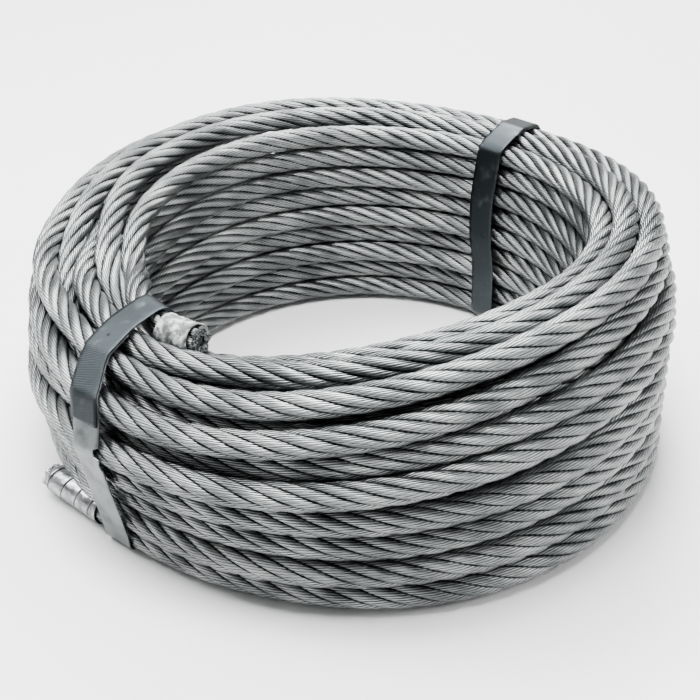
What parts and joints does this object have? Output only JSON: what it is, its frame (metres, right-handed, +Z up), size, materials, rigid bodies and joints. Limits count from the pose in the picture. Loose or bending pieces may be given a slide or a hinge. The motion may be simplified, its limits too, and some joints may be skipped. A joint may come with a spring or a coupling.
{
  "type": "coil of wire rope",
  "caption": "Round coil of stranded steel wire rope lying flat, bound by two lapped steel straps, with both cut ends taped.",
  "frame": {"origin": "on the coil's axis at floor level, at the middle of the lowest plane of the bounding box", "axes": "+Z up along the coil's axis; the lapped front strap and both rope ends lie towards -X -Y, the back strap towards +X +Y"},
  "size_m": [0.2608, 0.2608, 0.09],
  "materials": {
    "rope_wire": "bare drawn steel wire, lightly oiled, neutral grey",
    "blued_strap_steel": "dark blued strapping steel, satin, scuffed to grey",
    "pale_tape": "crinkled pale grey wrap, matte",
    "silver_tape": "silvery wrap with spiral seams, satin"
  },
  "bodies": {
    "root": {"rope_coil": "rope_wire", "top_end_tape": "pale_tape", "bottom_end_tape": "silver_tape", "front_strap": "blued_strap_steel", "back_strap": "blued_strap_steel"}
  },
  "joints": []
}
